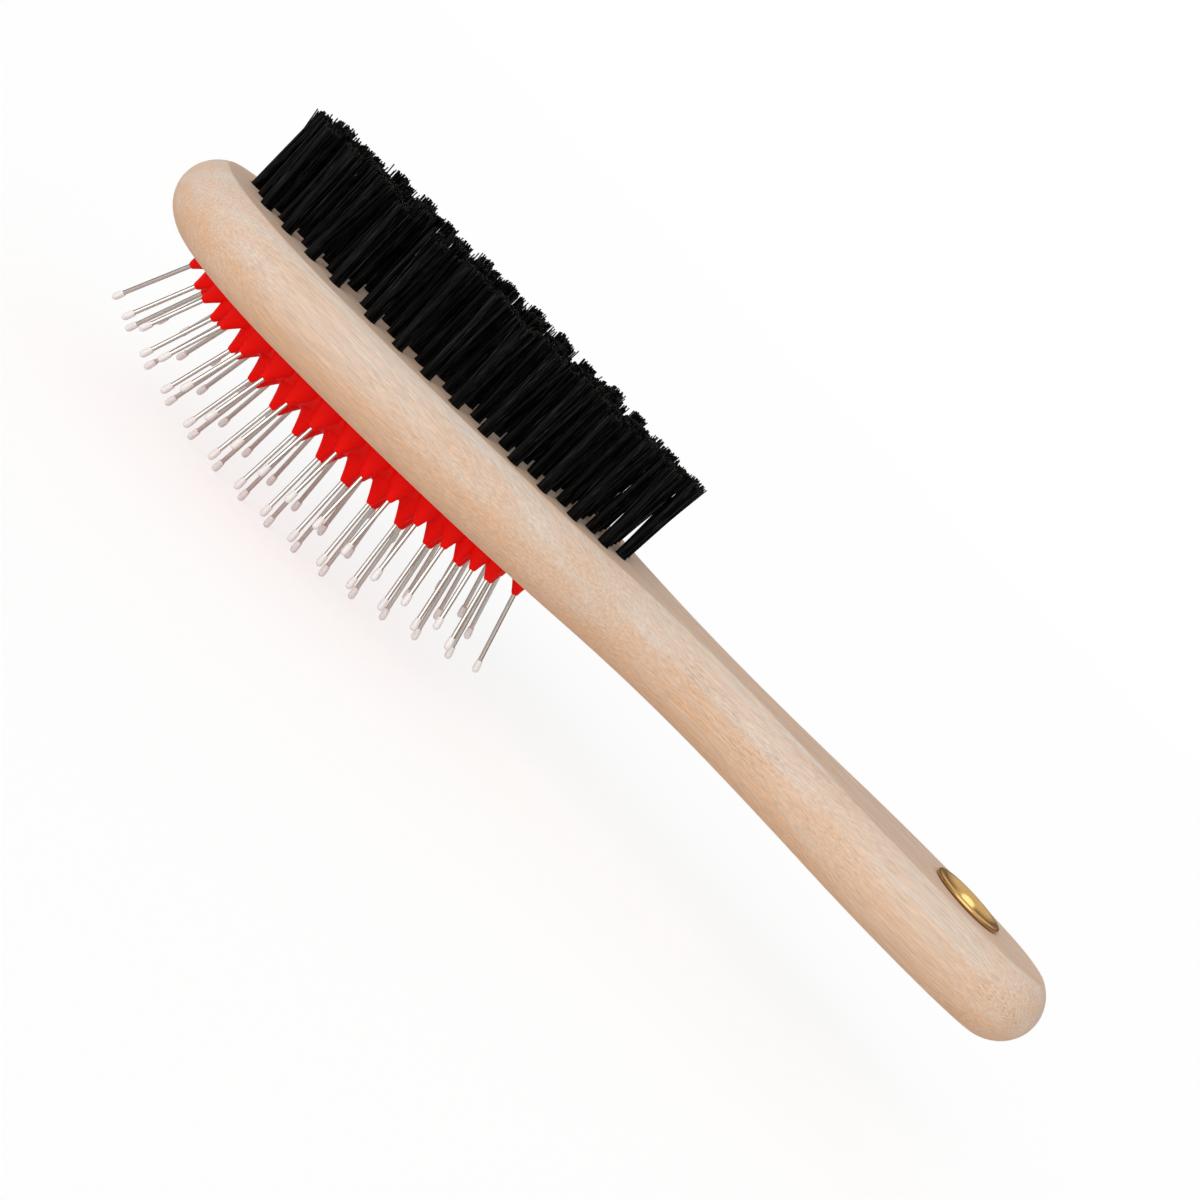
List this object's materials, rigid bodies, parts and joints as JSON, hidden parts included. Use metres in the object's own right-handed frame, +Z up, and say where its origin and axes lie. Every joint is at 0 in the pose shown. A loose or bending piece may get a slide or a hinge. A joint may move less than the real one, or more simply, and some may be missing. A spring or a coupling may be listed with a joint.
{
  "type": "double-sided pet brush",
  "caption": "Wooden pet grooming brush with set bristle tufts on one side, a domed rubber cushion of ball-tipped wire pins on the other, and an eyelet in the handle to hang it.",
  "frame": {"origin": "middle of the body's length and width, level with the lowest pin tips", "axes": "+X along the brush from the head to the end of the handle, +Y across it, +Z up towards the bristle side"},
  "size_m": [0.235, 0.0592, 0.0691],
  "materials": {
    "wood": "pale close-grained hardwood, sanded smooth and thinly varnished",
    "red_rubber": "soft moulded rubber, satin",
    "brass": "polished brass-plated steel",
    "steel_wire": "bright drawn steel wire",
    "white_plastic": "milky white moulded plastic",
    "black_nylon": "black nylon filament with a slight sheen",
    "staple_steel": "flat steel wire"
  },
  "bodies": {
    "brush": {"wooden_body": "wood", "rubber_cushion": "red_rubber", "hanging_eyelet": "brass", "eyelet_washer": "brass", "bristle_row_middle": "black_nylon", "bristle_row_left_1": "black_nylon", "bristle_row_left_2": "black_nylon", "bristle_row_left_3": "black_nylon", "bristle_row_right_1": "black_nylon", "bristle_row_right_2": "black_nylon", "bristle_row_right_3": "black_nylon", "tuft_anchors_middle": "staple_steel", "tuft_anchors_left_1": "staple_steel", "tuft_anchors_left_2": "staple_steel", "tuft_anchors_left_3": "staple_steel", "tuft_anchors_right_1": "staple_steel", "tuft_anchors_right_2": "staple_steel", "tuft_anchors_right_3": "staple_steel"},
    "crown_pins": {"crown_pin_wires": "steel_wire", "crown_pin_tips": "white_plastic"},
    "shoulder_pins": {"shoulder_pin_wires": "steel_wire", "shoulder_pin_tips": "white_plastic"},
    "rim_pins": {"rim_pin_wires": "steel_wire", "rim_pin_tips": "white_plastic"}
  },
  "joints": [
    {"name": "crown_press", "type": "slide", "parent": "brush", "child": "crown_pins", "axis": [0, 0, 1], "range_m": [0, 0.0025], "stiffness_N_per_m": 1500, "deforming": ["rubber_cushion"]},
    {"name": "shoulder_press", "type": "slide", "parent": "brush", "child": "shoulder_pins", "axis": [0, 0, 1], "range_m": [0, 0.0016], "stiffness_N_per_m": 1500},
    {"name": "rim_press", "type": "slide", "parent": "brush", "child": "rim_pins", "axis": [0, 0, 1], "range_m": [0, 0.0008], "stiffness_N_per_m": 1500}
  ],
  "couplings": [
    {"joint": "shoulder_press", "follows": "crown_press", "ratio": 0.6},
    {"joint": "rim_press", "follows": "crown_press", "ratio": 0.25}
  ]
}
